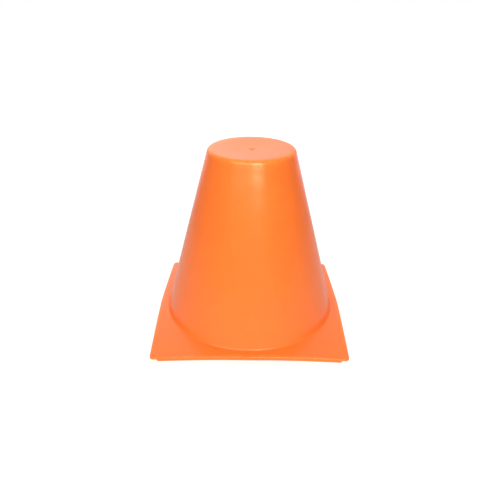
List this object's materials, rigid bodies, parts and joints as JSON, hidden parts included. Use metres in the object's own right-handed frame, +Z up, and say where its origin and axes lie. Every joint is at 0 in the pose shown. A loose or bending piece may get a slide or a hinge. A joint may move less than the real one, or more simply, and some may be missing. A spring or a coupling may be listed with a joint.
{
  "type": "sports marker cone",
  "caption": "Hollow flat-topped marker cone in orange plastic on a square flange whose sides arch between skirts, to stand on a pitch and to stack.",
  "frame": {"origin": "on the floor under the middle of the base, on the cone's axis", "axes": "+Z up along the cone's axis, -Y towards the front side of the base, +X to the right"},
  "size_m": [0.1608, 0.1608, 0.15],
  "materials": {
    "orange_plastic": "satin bright orange, moulded in its colour"
  },
  "bodies": {
    "root": {"top_cap": "orange_plastic", "cone_wall": "orange_plastic", "base_flange": "orange_plastic", "edge_skirt_front": "orange_plastic", "edge_skirt_right": "orange_plastic", "edge_skirt_back": "orange_plastic", "edge_skirt_left": "orange_plastic"}
  },
  "joints": []
}
